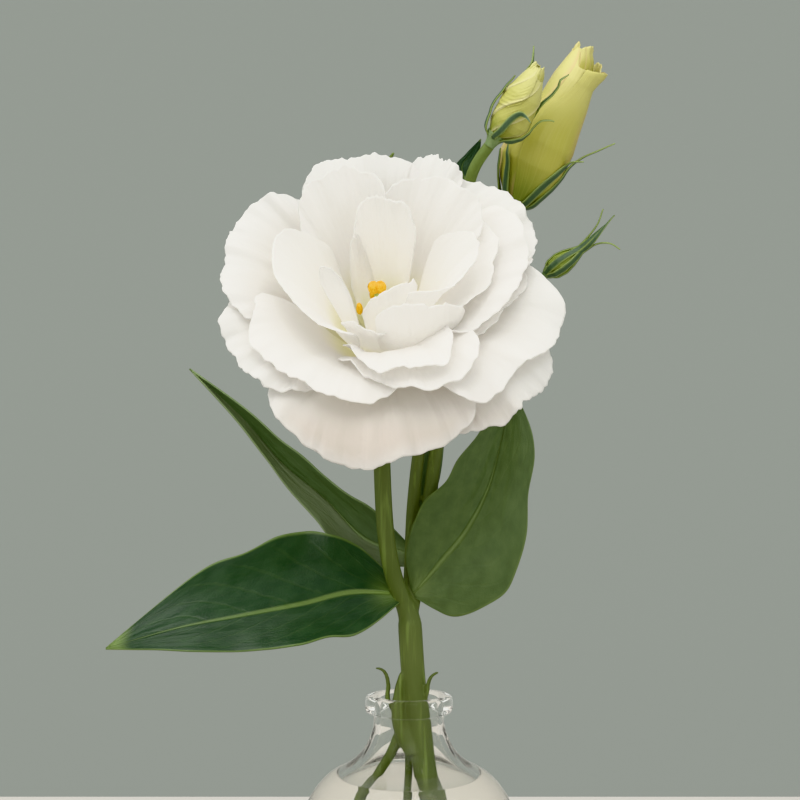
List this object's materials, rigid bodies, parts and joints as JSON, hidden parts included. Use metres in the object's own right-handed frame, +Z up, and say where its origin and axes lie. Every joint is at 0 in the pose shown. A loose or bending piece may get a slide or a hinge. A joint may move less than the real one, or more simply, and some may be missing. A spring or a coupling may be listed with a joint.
{
  "type": "lisianthus flower in a glass bottle",
  "caption": "Lisianthus spray with a large ruffled white double bloom, closed buds and green leaves, standing in a small clear glass bottle of water.",
  "frame": {"origin": "centre of the bottle's flat base, at the height of the surface it stands on", "axes": "+Z up, -Y towards the front, where the bloom faces, +X to the right seen from the front"},
  "size_m": [0.1126, 0.0707, 0.2317],
  "materials": {
    "bottle_glass": "clear, smooth",
    "water": "clear liquid",
    "stalk_green": "matt, fresh green",
    "petal_white": "matt, thin and translucent",
    "pistil_green": "satin",
    "stamen_yellow": "powdery",
    "bud_cream": "satin",
    "bud_lime": "satin",
    "bud_green": "satin",
    "leaf_dark": "waxy, slightly glossy",
    "leaf_olive": "waxy, slightly glossy",
    "leaf_mid": "waxy, slightly glossy"
  },
  "bodies": {
    "root": {"bottle": "bottle_glass", "water": "water", "stems": "stalk_green", "bloom_petals": "petal_white", "pistil": "pistil_green", "stamens": "stamen_yellow", "bud_large": "bud_cream", "bud_small": "bud_lime", "bud_tiny": "bud_green", "leaf_low_left": "leaf_dark", "leaf_right": "leaf_olive", "leaf_high_left": "leaf_mid", "leaf_behind": "leaf_mid", "bract_top": "leaf_dark"}
  },
  "joints": []
}
